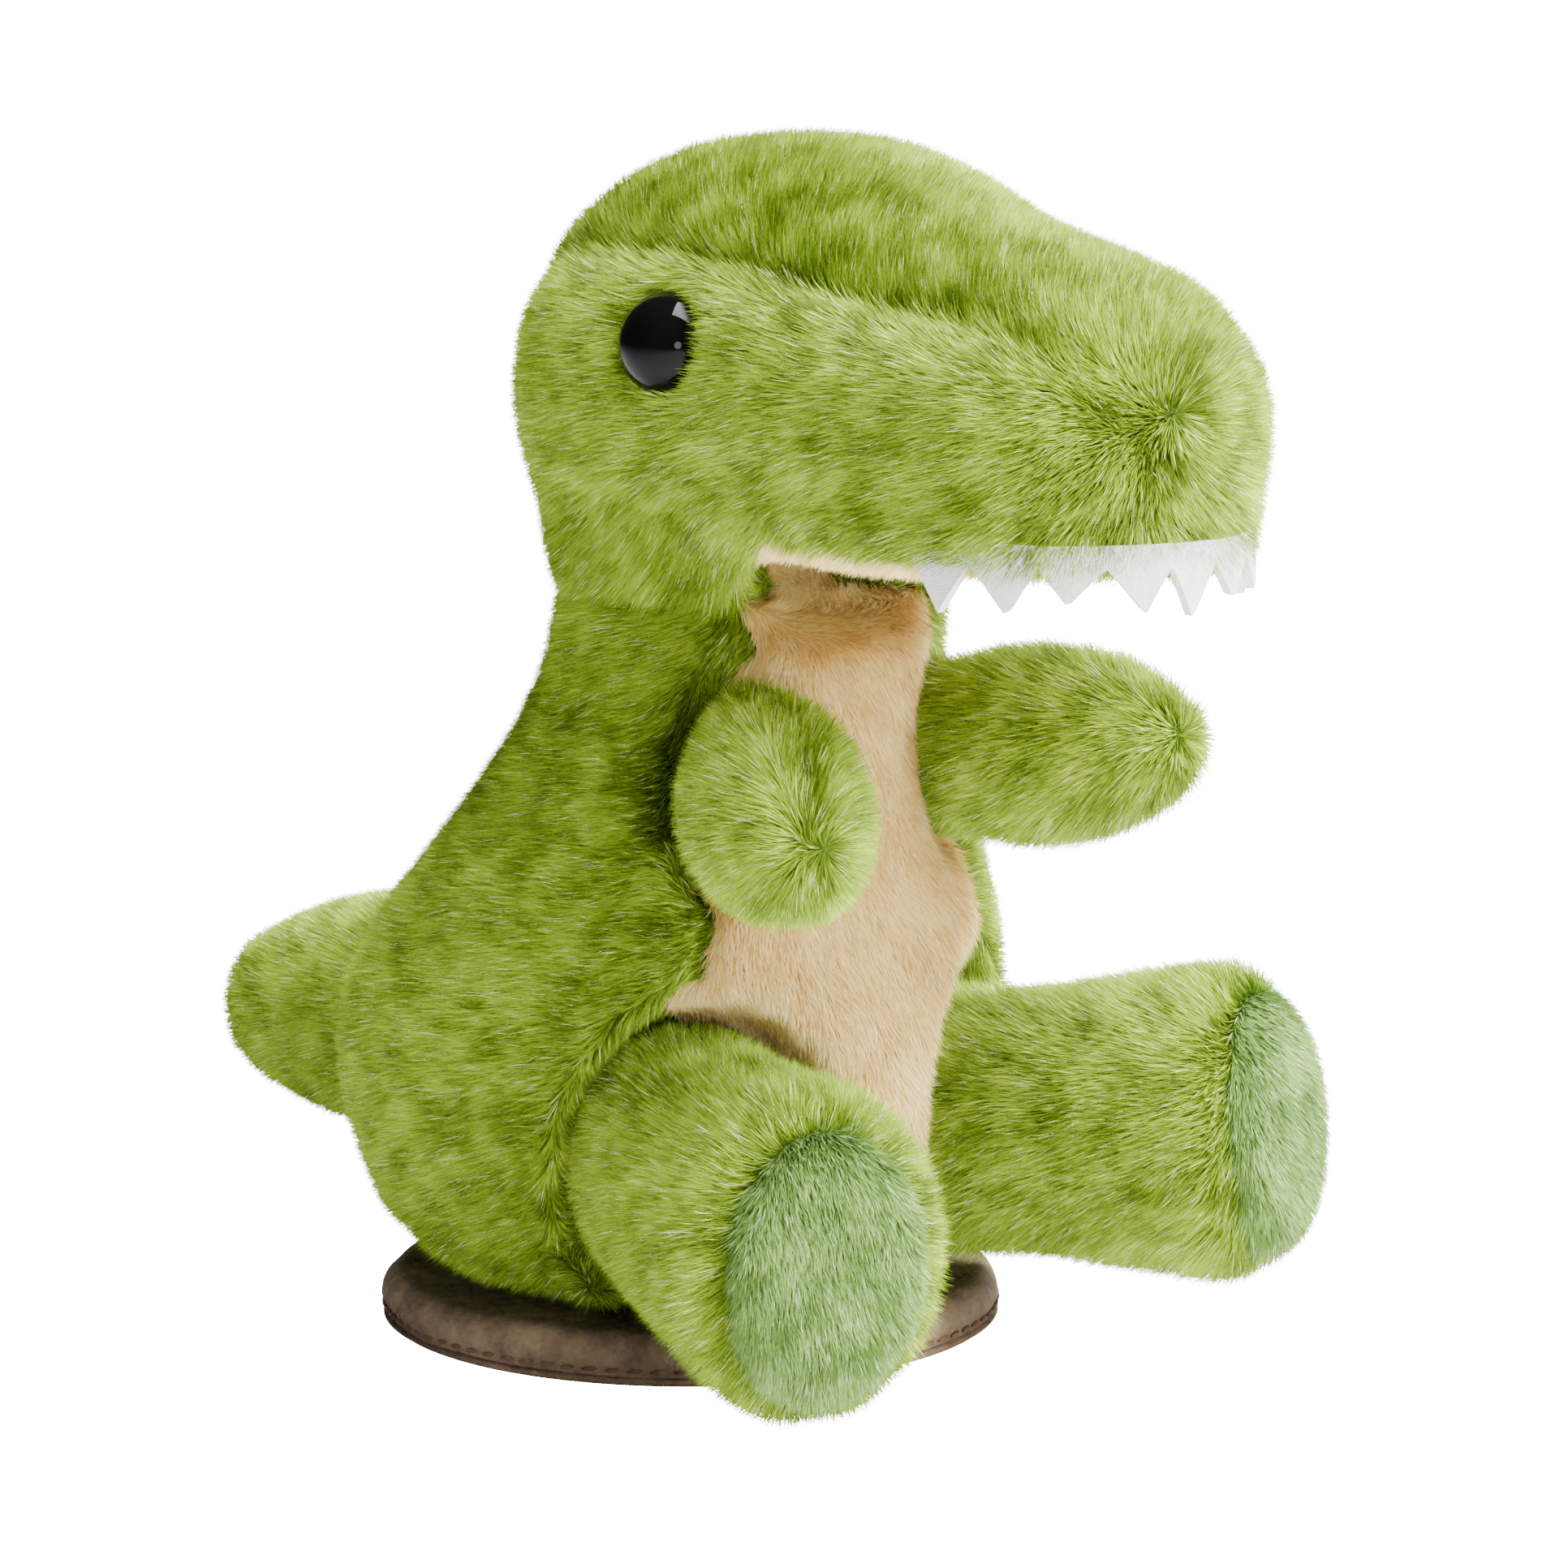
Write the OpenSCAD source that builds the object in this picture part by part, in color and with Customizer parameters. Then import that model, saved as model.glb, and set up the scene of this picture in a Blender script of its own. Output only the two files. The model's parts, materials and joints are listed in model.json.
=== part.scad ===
// Seated plush dinosaur on a round fabric pad.
// It faces -Y, its right side is -X and +Z is up. The origin is the centre of the pad's underside.

/* [Pad] */
// Diameter of the round pad
pad_d = 76; // [60:1:96]
// Thickness of the pad, cover included
pad_h = 6; // [5:0.5:9]
// Thickness of the pad's suede
suede_t = 1; // [0.6:0.1:1.4]
// Diameter of the steel disc in the pad
plate_d = 32; // [20:1:44]
// Thickness of the steel disc in the pad
plate_t = 1; // [0.6:0.1:1.6]
// Thickness of the pad's edge stitching thread
thread_d = 0.5; // [0.3:0.05:0.8]

/* [Plush] */
// Thickness of the plush, backing cloth and pile together
plush_t = 4.2; // [3.2:0.1:5]
// Thickness of the backing cloth alone
cloth_t = 1; // [0.6:0.1:1.3]
// Space between sewn panels along a seam
seam_gap = 0.1; // [0.05:0.05:0.3]
// Space between a skin and its stuffing
fill_gap = 0.2; // [0.1:0.05:0.5]
// Space between pieces that move past each other
move_gap = 1; // [0.9:0.05:1.4]

/* [Torso] */
// Radius of the flat base that it sits on
base_r = 27; // [22:1:32]
// Largest radius of the torso
belly_r = 42; // [37:1:48]
// Height of the widest part
belly_z = 35; // [30:1:41]
// Radius of the neck
neck_r = 24; // [21:0.5:27]
// Height of the neck seam
neck_z = 91; // [84:1:101]
// Distance that the neck stands forward of the base
neck_forward = 12; // [6:1:16]
// Distance that the seat stands back of the origin
seat_back = 2.5; // [0:0.5:5]
// Half angle of the belly panel, seen from above
belly_angle = 35; // [28:1:42]

/* [Head] */
// Half width of the cranium
cranium_w = 31; // [27:0.5:34]
// Half height of the cranium
cranium_h = 30; // [27:0.5:33]
// Height of the cranium's centre above the neck seam
cranium_rise = 24.5; // [22:0.5:28]
// Distance from the cranium's centre to the muzzle's centre
muzzle_reach = 52; // [44:1:58]
// Half width of the muzzle
muzzle_w = 24; // [20:0.5:27]
// Height of the lip above the neck seam
lip_rise = 9.5; // [7:0.5:12]
// Height of the muzzle from the lip to its top
muzzle_h = 38; // [33:1:43]
// Depth of the lining's bulge under the lip
lining_drop = 5.5; // [4:0.5:7]

/* [Teeth] */
// Number of teeth on the felt strip
tooth_count = 9; // [7:1:12]
// Length of a tooth below the lip
tooth_len = 6.4; // [4:0.2:8]
// Thickness of the felt
felt_t = 1.1; // [0.8:0.1:1.5]

/* [Eyes] */
// Diameter of the eye dome
eye_d = 12; // [9:0.5:13]
// Height of the eye dome
eye_h = 5; // [4:0.25:6]
// Diameter of the stem behind the eye
stem_d = 3; // [2:0.25:4]
// Length of the stem behind the eye
stem_l = 9; // [7:0.5:12]
// Diameter of the locking washer
washer_d = 13; // [10:0.5:14]
// Thickness of the locking washer
washer_t = 1.2; // [0.8:0.1:1.6]
// Height of the eyes above the neck seam
eye_rise = 32.5; // [28:0.5:35]

/* [Arms] */
// Length of an arm from shoulder to tip
arm_l = 39; // [32:1:44]
// Half width of an arm, seen from above
arm_w = 11.5; // [9:0.5:12]
// Half height of an arm
arm_h = 13.6; // [10:0.2:14]
// Height of the shoulders
shoulder_z = 72.5; // [66:0.5:74]
// Sideways distance of a shoulder from the middle
shoulder_x = 15.5; // [14:0.5:19]
// Angle of the right arm outwards from straight ahead
right_splay = 26; // [10:1:32]
// Angle of the left arm outwards from straight ahead
left_splay = 12; // [10:1:32]
// Tilt of the right arm at rest, upwards positive
right_raise = -7.5; // [-10:0.5:10]
// Tilt of the left arm at rest, upwards positive
left_raise = 6; // [-10:0.5:10]
// Largest outward swing of an arm from rest
arm_swing = 28; // [15:1:35]

/* [Legs] */
// Length of a leg from hip to sole
leg_l = 50; // [44:1:56]
// Radius of a leg at the hip and the ankle
leg_r = 17; // [14:0.5:18]
// Half width of a foot
foot_w = 16.6; // [14:0.5:18]
// Half height of a foot
foot_h = 20.6; // [18:0.2:22]
// Half width of the sole patch
sole_w = 13; // [9:0.2:13]
// Half height of the sole patch
sole_h = 17.4; // [12:0.2:18]
// Sideways distance of a hip from the middle
hip_x = 19; // [17:0.5:22]
// Height of the hips
hip_z = 25; // [23:0.5:29]
// Angle of the right leg outwards from straight ahead
right_leg_splay = 18; // [14:1:26]
// Angle of the left leg outwards from straight ahead
left_leg_splay = 23; // [14:1:26]
// Tilt of the right leg at rest, upwards positive
right_tilt = -2.5; // [-4:0.5:7]
// Tilt of the left leg at rest, upwards positive
left_tilt = 6; // [-4:0.5:7]
// Largest lift of a leg from rest
leg_lift = 14; // [8:1:18]

/* [Tail] */
// Length of the tail from its root to its tip
tail_l = 62; // [52:1:70]
// Radius of the tail at its root
tail_r = 18; // [14:0.5:19]
// Radius of the tail near its tip
tail_tip_r = 10; // [8:0.5:12]
// Height of the tail's root
tail_z = 29; // [26:0.5:33]
// Largest swing of the tail to each side
tail_swing = 20; // [10:1:25]

/* [Fillings] */
// Diameter of the magnet in the base
magnet_d = 20; // [14:1:28]
// Thickness of the magnet in the base
magnet_t = 3; // [2:0.5:4]
// Diameter of the pellet bag
pouch_d = 24; // [18:0.5:25]
// Height of the pellet bag
pouch_h = 22; // [14:1:26]
// Diameter of one pellet
pellet_d = 4; // [3:0.25:5]

/* [Hidden] */
plush_green = "yellowgreen";
fill_white = "white";
big = 200;
outer_fn = 26;
inner_fn = 18;
low_steps = 4;
high_steps = 7;
ring_t = 0.02;
base_z = pad_h + 0.3;
inner_d = plush_t + fill_gap;
neck_y = -neck_forward;
hip_y = -23;
shoulder_y = -30;
tail_y = 34;
cranium_y = neck_y - 4;
cranium_z = neck_z + cranium_rise;
muzzle_y = cranium_y - muzzle_reach;
lip_z = neck_z + lip_rise;
head_z = neck_z + 0.5;
lip_a = muzzle_w - 4;
lip_b = muzzle_w - 1.5;
lip_y = muzzle_y + 2;
eye_y = cranium_y - 13;
eye_turn = 12;
pouch_z = base_z + 8;
pouch_wall = 0.6;
washer_z = -cloth_t - 3.6;
magnet_pouch_d = magnet_d + 5;
arm_wall = plush_t - 0.7;
wedge_back = 9;
wedge_reach = 50;
gusset_crown_w = 23;
gusset_brow_w = 22;
gusset_nose_w = 17.5;
gusset_nape_w = 1.5;
nose_h = 20.5;
chin_h = 9;
arm_root_r = 5.5;
arm_tip_w = 7.6;
arm_tip_r = 9;
throat_back = 16;
teeth_sweep = 164;
tooth_root = 1.6;

// Outer surfaces are finer than the walls' inner faces and the limbs' hidden rooms
function form_fn(d) = d == 0 ? outer_fn : inner_fn;

// Torso outline: radius and centre for a height
function blend(t) = (1 - cos(180 * t)) / 2;
function rise(z) = max(0, min(1, (z - belly_z) / (neck_z - belly_z)));
function under(z) = max(0, (belly_z - z) / (belly_z - base_z));
function torso_r(z) = z < belly_z
    ? base_r + (belly_r - base_r) * sqrt(1 - pow(under(z), 2))
    : belly_r + (neck_r - belly_r) * blend(pow(rise(z), 0.9));
function torso_y(z) = seat_back - (seat_back + neck_forward) * blend(rise(z));
function low_z(i, d) = belly_z - (belly_z - base_z - d) * cos(90 * i / low_steps);
function high_z(i, d) = belly_z + (neck_z - d - belly_z) * i / high_steps;
function torso_heights(d) = concat(
    [for (i = [0:low_steps - 1]) low_z(i, d)],
    [for (i = [0:high_steps]) high_z(i, d)]
);

module ellipsoid(place, radii) {
    translate(place)
        scale(radii)
            sphere(r = 1);
}

// Rounded disc with its flat faces across Z
module puck(half_w, half_l, half_h, edge_r) {
    scale([1, half_l / half_w, 1])
        hull()
            rotate_extrude()
                intersection() {
                    translate([half_w - edge_r, 0])
                        scale([1, half_h / edge_r])
                            circle(r = edge_r, $fn = 16);
                    translate([0, -half_h])
                        square([half_w, 2 * half_h]);
                }
}

// The torso's solid form, shrunk by d, as rings of points joined from the base to the neck
module torso_form(d) {
    n = d == 0 ? 32 : 24;
    heights = torso_heights(d);
    rings = len(heights);
    points = [
        for (z = heights, k = [0:n - 1])
            let (r = torso_r(z) - d, a = 360 * k / n)
                [r * cos(a), torso_y(z) + r * sin(a), z]
    ];
    sides = [
        for (i = [0:rings - 2], k = [0:n - 1], half = [0, 1])
            let (a = i * n + k, b = i * n + (k + 1) % n)
                half == 0 ? [a, a + n, b + n] : [a, b + n, b]
    ];
    base = [for (k = [0:n - 1]) k];
    top = [for (k = [n - 1:-1:0]) (rings - 1) * n + k];
    polyhedron(points, concat([base], sides, [top]));
}

// Wedge that holds the belly panel, grown by g on its sides
module belly_wedge(g) {
    heights = concat([for (i = [0:6]) base_z + 1.7 + i * (neck_z - base_z) / 7], [neck_z + 2]);
    for (i = [0:len(heights) - 2])
        hull()
            for (z = [heights[i] - big * (i == 0 ? 1 : 0), heights[i + 1]])
                translate([-wedge_w(min(z, neck_z)) - g, -big, z])
                    cube([2 * (wedge_w(min(z, neck_z)) + g), big + torso_y(z) - wedge_back, ring_t]);
}
function wedge_w(z) = torso_r(max(z, base_z)) * sin(belly_angle);

// Limbs are drawn pointing to -Y from their joint, shrunk by d
module arm_form(d) {
    $fn = form_fn(d);
    root = [arm_root_r - d * 0.5, arm_root_r - d * 0.5, arm_h - 1 - d];
    thick = [arm_w - d, arm_w - d, arm_h - d];
    taper = [arm_w - 1 - d, arm_w - d, arm_h - 1.2 - d];
    tip = [arm_tip_w - d, arm_tip_r - d, arm_tip_r - d];
    hull() {
        ellipsoid([0, 0, 0], root);
        ellipsoid([0, -arm_l * 0.38, 0], thick);
    }
    hull() {
        ellipsoid([0, -arm_l * 0.38, 0], thick);
        ellipsoid([0, -arm_l * 0.58, 0], taper);
    }
    hull() {
        ellipsoid([0, -arm_l * 0.58, 0], taper);
        ellipsoid([0, arm_tip_r - arm_l, 0], tip);
    }
}

module leg_form(d) {
    $fn = form_fn(d);
    hull() {
        ellipsoid([0, 0, 0], [leg_r - 3 - d, leg_r - 2 - d, leg_r - d]);
        ellipsoid([0, -leg_l * 0.35, 0], [leg_r - 1 - d, leg_r - 4 - d, leg_r + 0.5 - d]);
    }
    hull() {
        ellipsoid([0, -leg_l * 0.35, 0], [leg_r - 1 - d, leg_r - 4 - d, leg_r + 0.5 - d]);
        foot_form(d);
    }
    foot_form(d);
}

module foot_form(d) {
    translate([0, 10 - leg_l, 0])
        rotate([90, 0, 0])
            puck(foot_w - d, foot_h - d, 10 - d, 9 - d);
}

module tail_form(d) {
    $fn = form_fn(d);
    middle_r = (tail_r + tail_tip_r) / 2;
    root = [tail_r - d, tail_r - 2 - d, tail_r + 2 - d];
    middle = [middle_r - d, 14 - d, middle_r + 1 - d];
    tip = [tail_tip_r - d, tail_tip_r - d, tail_tip_r - d];
    hull() {
        ellipsoid([0, 0, 0], root);
        ellipsoid([0, tail_l * 0.45, -1], middle);
    }
    hull() {
        ellipsoid([0, tail_l * 0.45, -1], middle);
        ellipsoid([0, tail_l - tail_tip_r, -3.5], tip);
    }
}

// Limbs in their places; side is -1 for right and 1 for left
module place_arm(side, swing = 0) {
    translate([side * shoulder_x, shoulder_y, shoulder_z])
        rotate([0, 0, side * ((side < 0 ? right_splay : left_splay) + swing)])
            rotate([-(side < 0 ? right_raise : left_raise), 0, 0])
                children();
}

module place_leg(side, lift = 0) {
    translate([side * hip_x, hip_y, hip_z])
        rotate([0, 0, side * (side < 0 ? right_leg_splay : left_leg_splay)])
            rotate([-(side < 0 ? right_tilt : left_tilt) - lift, 0, 0])
                children();
}

module place_tail(swing = 0) {
    translate([0, tail_y, tail_z])
        rotate([0, 0, swing])
            children();
}

// Room that the limbs need in the torso over their travel
module limb_room(g) {
    for (side = [-1, 1]) {
        hull()
            for (swing = [-5, arm_swing])
                place_arm(side, swing)
                    arm_form(-g);
        hull()
            for (lift = [-3, leg_lift])
                place_leg(side, lift)
                    leg_form(-g);
    }
    hull()
        for (swing = [-tail_swing, tail_swing])
            place_tail(swing)
                tail_form(-g);
}

module torso_shell() {
    difference() {
        torso_form(0);
        torso_form(plush_t);
        limb_room(move_gap);
    }
}

// Flat bottom layer of the torso, grown by g upwards
module base_layer(g) {
    translate([-big, -big, base_z - 1])
        cube([2 * big, 2 * big, 1 + plush_t + g]);
}

module half_space(side, g) {
    translate([side < 0 ? -big : g, -big, -big])
        cube([big - g * (side < 0 ? 1 : 0), 2 * big, 3 * big]);
}

module back_panel(side) {
    difference() {
        torso_shell();
        belly_wedge(seam_gap);
        base_layer(seam_gap);
        half_space(-side, -seam_gap / 2);
    }
}

module back_panel_right() color(plush_green) back_panel(-1);
module back_panel_left() color(plush_green) back_panel(1);

module belly_panel() {
    color("burlywood")
        difference() {
            intersection() {
                torso_shell();
                belly_wedge(0);
            }
            base_layer(seam_gap);
        }
}

module base_panel() {
    color(plush_green)
        intersection() {
            difference() {
                torso_form(0);
                limb_room(move_gap);
            }
            base_layer(0);
        }
}

module torso_stuffing() {
    color(fill_white)
        difference() {
            torso_form(inner_d);
            limb_room(move_gap + fill_gap);
            translate([0, seat_back, pouch_z - fill_gap])
                cylinder(h = pouch_h + 2 * fill_gap, d = pouch_d + 2 * fill_gap, $fn = 48);
            translate([0, seat_back, base_z + plush_t])
                cylinder(h = pouch_z - base_z - plush_t, d = magnet_pouch_d + 2 * fill_gap, $fn = 48);
        }
}

// Cloth bag with a flat round shape, hollow inside
module pouch(place_z, d, h, wall) {
    translate([0, seat_back, place_z])
        difference() {
            cylinder(h = h, d = d, $fn = 48);
            translate([0, 0, wall])
                cylinder(h = h - 2 * wall, d = d - 2 * wall, $fn = 48);
        }
}

module pellet_pouch() color("ivory") pouch(pouch_z, pouch_d, pouch_h, pouch_wall);

module pellets() {
    pitch = pellet_d + 0.4;
    layer_h = pellet_d + 0.2;
    room = pouch_d / 2 - pouch_wall - fill_gap - pellet_d / 2;
    layers = floor((pouch_h - 2 * pouch_wall - 0.2) / layer_h);
    color("gainsboro")
        for (row = [-5:5], col = [-5:5], layer = [0:layers - 1]) {
            x = (col + row / 2) * pitch;
            y = row * pitch * sqrt(3) / 2;
            if (norm([x, y]) < room)
                translate([x, seat_back + y, pouch_z + pouch_wall + 0.1 + pellet_d / 2 + layer * layer_h])
                    sphere(d = pellet_d, $fn = 24);
        }
}

module magnet_pouch() {
    color("ivory") pouch(base_z + plush_t + 0.1, magnet_pouch_d, magnet_t + 0.4, 0.15);
}

module magnet() {
    color("silver")
        translate([0, seat_back, base_z + plush_t + 0.3])
            cylinder(h = magnet_t, d = magnet_d, $fn = 48);
}

// The head's solid form, shrunk by d
module head_form(d) {
    $fn = form_fn(d);
    top_drop = cranium_z + cranium_h - (lip_z + muzzle_h);
    back = [cranium_w - d, cranium_w + 0.5 - d, cranium_h - d];
    brow = [cranium_w - 1.5 - d, cranium_w - 3 - d, cranium_h - 3 - d];
    bridge = [(cranium_w + muzzle_w) / 2 - 0.5 - d, muzzle_w + 1 - d, muzzle_w - 1 - d];
    nose = [muzzle_w - d, muzzle_w - 1 - d, nose_h - d];
    brow_y = cranium_y - 12;
    bridge_y = (cranium_y + muzzle_y) / 2 - 6;
    brow_z = cranium_z + 3.6;
    bridge_z = cranium_z + cranium_h - top_drop * 0.75 - muzzle_w + 1;
    nose_z = lip_z + muzzle_h - nose_h;
    intersection() {
        union() {
            hull() {
                ellipsoid([0, cranium_y, cranium_z], back);
                ellipsoid([0, brow_y, brow_z], brow);
            }
            hull() {
                ellipsoid([0, brow_y, brow_z], brow);
                ellipsoid([0, bridge_y, bridge_z], bridge);
            }
            hull() {
                ellipsoid([0, bridge_y, bridge_z], bridge);
                ellipsoid([0, muzzle_y, nose_z], nose);
                chin_form(d);
            }
            hull() {
                ellipsoid([0, cranium_y, cranium_z - 4], [cranium_w - 1 - d, cranium_w - 1 - d, 20]);
                translate([0, neck_y, head_z + d])
                    cylinder(h = 1, r = neck_r + 0.3 - d);
            }
        }
        union() {
            translate([-big, -big, lip_z + d])
                cube([2 * big, 2 * big, big]);
            translate([0, neck_y, head_z + d])
                cylinder(h = big, r1 = neck_r + 1 - d, r2 = neck_r + 1 - d + big);
        }
    }
}

// Lower block of the muzzle
module chin_form(d) {
    translate([0, muzzle_y + 1, lip_z + chin_h])
        puck(muzzle_w - 0.5 - d, muzzle_w + 0.5 - d, chin_h - d, chin_h - d);
}

// Bulging lining under the muzzle, from the neck to the lip, shrunk by d
module lining_form(d) {
    $fn = form_fn(d);
    front = [lip_a - 1 - d, lip_b - 2.5 - d];
    intersection() {
        union() {
            hull() {
                ellipsoid([0, lip_y, lip_z + 0.5], [front[0], front[1], lining_drop - 1.5 - d]);
                ellipsoid([0, lip_y + throat_back, lip_z + 0.5], [lip_a - 2 - d, 14 - d, lining_drop - d]);
            }
            hull() {
                ellipsoid([0, lip_y + throat_back, lip_z + 0.5], [lip_a - 2 - d, 14 - d, lining_drop - d]);
                ellipsoid([0, neck_y - neck_r + 3, lip_z + 1.5], [lip_a - 5 - d, 8 - d, lining_drop - 1 - d]);
            }
        }
        difference() {
            translate([-big, -big, lip_z - big])
                cube([2 * big, 2 * big, big + plush_t]);
            translate([0, neck_y, neck_z - big])
                cylinder(h = big + 0.6, r = neck_r + 1.6);
        }
    }
}

// Upright column over the lining, grown by g
module lining_room(g) {
    hull() {
        translate([0, lip_y, lip_z - big / 2])
            scale([(lip_a - 1 + g) / (lip_b - 2.5 + g), 1, 1])
                cylinder(h = big / 2 + plush_t + 0.2, r = lip_b - 2.5 + g, $fn = outer_fn);
        translate([0, neck_y - neck_r + 1, lip_z - big / 2])
            cylinder(h = big / 2 + plush_t + 0.2, r = lip_a - 5 + g, $fn = outer_fn);
    }
}

// Wedge over the head that holds the gusset, grown by g
module gusset_wedge(g) {
    crown = [gusset_crown_w + g, cranium_y + 6, cranium_z + 16 - g];
    brow = [gusset_brow_w + g, cranium_y - 20, lip_z + 30 - g];
    nose = [gusset_nose_w + g, muzzle_y, lip_z + 29 - g];
    tip = [0, muzzle_y - 30, lip_z + 8 - g];
    nape = [gusset_nape_w + g, cranium_y + 50, cranium_z - 8 - g];
    top_z = cranium_z + cranium_h + 20;
    hull() {
        for (side = [-1, 1]) {
            corner(side, crown);
            corner(side, brow);
            corner(side, nose);
            corner(side, [wedge_reach, crown[1], top_z]);
            corner(side, [wedge_reach, tip[1], top_z]);
        }
        corner(1, tip);
    }
    hull() {
        for (side = [-1, 1]) {
            corner(side, crown);
            corner(side, [wedge_reach, crown[1], top_z]);
            corner(side, [wedge_reach, nape[1], top_z]);
            corner(side, nape);
        }
    }
}

module corner(side, place) {
    translate([side * place[0], place[1], place[2]])
        sphere(r = 0.01, $fn = 6);
}

// Frame of an eye: local +Z looks out of the head, the cloth lies at z = 0
module place_eye(side) {
    translate([side * (cranium_w - 2.3 - plush_t + cloth_t), eye_y, neck_z + eye_rise])
        rotate([0, side * 84, -side * eye_turn])
            children();
}

module eye_room() {
    cylinder(h = big / 4, d = eye_d + 0.4, $fn = 48);
    translate([0, 0, -stem_l])
        cylinder(h = stem_l + 1, d = stem_d + 0.3, $fn = 32);
}

module head_shell() {
    difference() {
        head_form(0);
        head_form(plush_t);
        lining_room(seam_gap);
        place_eye(-1)
            eye_room();
        place_eye(1)
            eye_room();
    }
}

module head_side(side) {
    difference() {
        head_shell();
        gusset_wedge(seam_gap);
        half_space(-side, -seam_gap / 2);
    }
}

module head_side_right() color(plush_green) head_side(-1);
module head_side_left() color(plush_green) head_side(1);

module head_gusset() {
    color(plush_green)
        intersection() {
            head_shell();
            gusset_wedge(0);
        }
}

module muzzle_lining() {
    color("tan")
        difference() {
            intersection() {
                lining_form(0);
                lining_room(0);
            }
            intersection() {
                lining_form(cloth_t + 0.8);
                translate([-big, -big, lip_z - big + 1])
                    cube([2 * big, 2 * big, big]);
            }
        }
}

module head_stuffing() {
    color(fill_white)
        difference() {
            head_form(inner_d);
            lining_room(seam_gap + fill_gap);
            for (side = [-1, 1])
                place_eye(side) {
                    translate([0, 0, -stem_l - 1])
                        cylinder(h = stem_l + 1.2, d = stem_d + 0.6, $fn = 32);
                    translate([0, 0, washer_z - fill_gap])
                        cylinder(h = 10, d = washer_d + 0.8, $fn = 48);
                }
        }
}

// Felt strip that follows the lip, one pointed tooth after another
module teeth() {
    step = teeth_sweep / tooth_count;
    color("whitesmoke")
        for (i = [0:tooth_count - 1]) {
            from = lip_point(-teeth_sweep / 2 + i * step);
            to = lip_point(-teeth_sweep / 2 + (i + 1) * step);
            width = norm(to - from);
            translate([from[0], from[1], lip_z - 0.2])
                rotate([0, 0, atan2(to[1] - from[1], to[0] - from[0])])
                    rotate([90, 0, 0])
                        translate([0, 0, -felt_t])
                            linear_extrude(height = felt_t)
                                polygon([
                                    [0, 0],
                                    [0, -tooth_root],
                                    [width * 0.5, -tooth_len],
                                    [width, -tooth_root],
                                    [width, 0]
                                ]);
        }
}
function lip_point(a) = [(lip_a + 0.6) * sin(a), lip_y - (lip_b + 0.6) * cos(a)];

// Domed eye on a stem
module eye(side) {
    dome_r = (pow(eye_d / 2, 2) + pow(eye_h, 2)) / (2 * eye_h);
    color("black")
        place_eye(side) {
            intersection() {
                translate([0, 0, eye_h - dome_r])
                    sphere(r = dome_r, $fn = 64);
                cylinder(h = eye_h + 1, d = eye_d, $fn = 64);
            }
            translate([0, 0, -stem_l])
                cylinder(h = stem_l + 0.5, d = stem_d, $fn = 32);
        }
}

module eye_washer(side) {
    color("dimgray")
        place_eye(side)
            translate([0, 0, washer_z])
                difference() {
                    cylinder(h = washer_t, d = washer_d, $fn = 48);
                    translate([0, 0, -1])
                        cylinder(h = 4, d = stem_d + 0.1, $fn = 32);
                }
}

module eye_right() eye(-1);
module eye_left() eye(1);
module eye_washer_right() eye_washer(-1);
module eye_washer_left() eye_washer(1);

// Half of an arm's skin; half is -1 for the -X half and 1 for the +X half
module arm_half(side, half) {
    color(plush_green)
        place_arm(side)
            difference() {
                arm_form(0);
                arm_form(arm_wall);
                half_space(-half, -seam_gap / 2);
            }
}

module arm_stuffing(side) {
    color(fill_white)
        place_arm(side)
            arm_form(arm_wall + fill_gap);
}

module arm_outer_right() arm_half(-1, -1);
module arm_inner_right() arm_half(-1, 1);
module arm_outer_left() arm_half(1, 1);
module arm_inner_left() arm_half(1, -1);
module arm_stuffing_right() arm_stuffing(-1);
module arm_stuffing_left() arm_stuffing(1);

// Outline of the sole patch, grown by g
module sole_room(g) {
    translate([0, 4 - leg_l, 0])
        rotate([90, 0, 0])
            scale([1, (sole_h + g) / (sole_w + g), 1])
                cylinder(h = 20, r = sole_w + g, $fn = 40);
}

module leg_half(side, half) {
    color(plush_green)
        place_leg(side)
            difference() {
                leg_form(0);
                leg_form(plush_t);
                sole_room(seam_gap);
                half_space(-half, -seam_gap / 2);
            }
}

module sole(side) {
    color("darkseagreen")
        place_leg(side)
            intersection() {
                difference() {
                    leg_form(0);
                    leg_form(plush_t);
                }
                sole_room(0);
            }
}

module leg_stuffing(side) {
    color(fill_white)
        place_leg(side)
            leg_form(inner_d);
}

module leg_outer_right() leg_half(-1, -1);
module leg_inner_right() leg_half(-1, 1);
module leg_outer_left() leg_half(1, 1);
module leg_inner_left() leg_half(1, -1);
module sole_right() sole(-1);
module sole_left() sole(1);
module leg_stuffing_right() leg_stuffing(-1);
module leg_stuffing_left() leg_stuffing(1);

module tail_skin(side) {
    color(plush_green)
        place_tail()
            difference() {
                tail_form(0);
                tail_form(plush_t);
                half_space(-side, -seam_gap / 2);
            }
}

module tail_skin_right() tail_skin(-1);
module tail_skin_left() tail_skin(1);

module tail_stuffing() {
    color(fill_white)
        place_tail()
            tail_form(inner_d);
}

// Half outline of the pad, shrunk by d, with a soft upper edge
module pad_outline(d, bottom) {
    r = pad_d / 2 - d;
    top = pad_h - d;
    edge = 3 - d;
    hull_r = r - edge;
    union() {
        translate([0, bottom])
            square([r, top - edge - bottom]);
        translate([0, bottom])
            square([hull_r, top - bottom]);
        translate([hull_r, top - edge])
            intersection() {
                circle(r = edge, $fn = 48);
                square(edge);
            }
    }
}

module pad_top_cover() {
    color("rosybrown")
        rotate_extrude($fn = 96)
            difference() {
                pad_outline(0, suede_t + seam_gap);
                pad_outline(suede_t, 0);
            }
}

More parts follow.
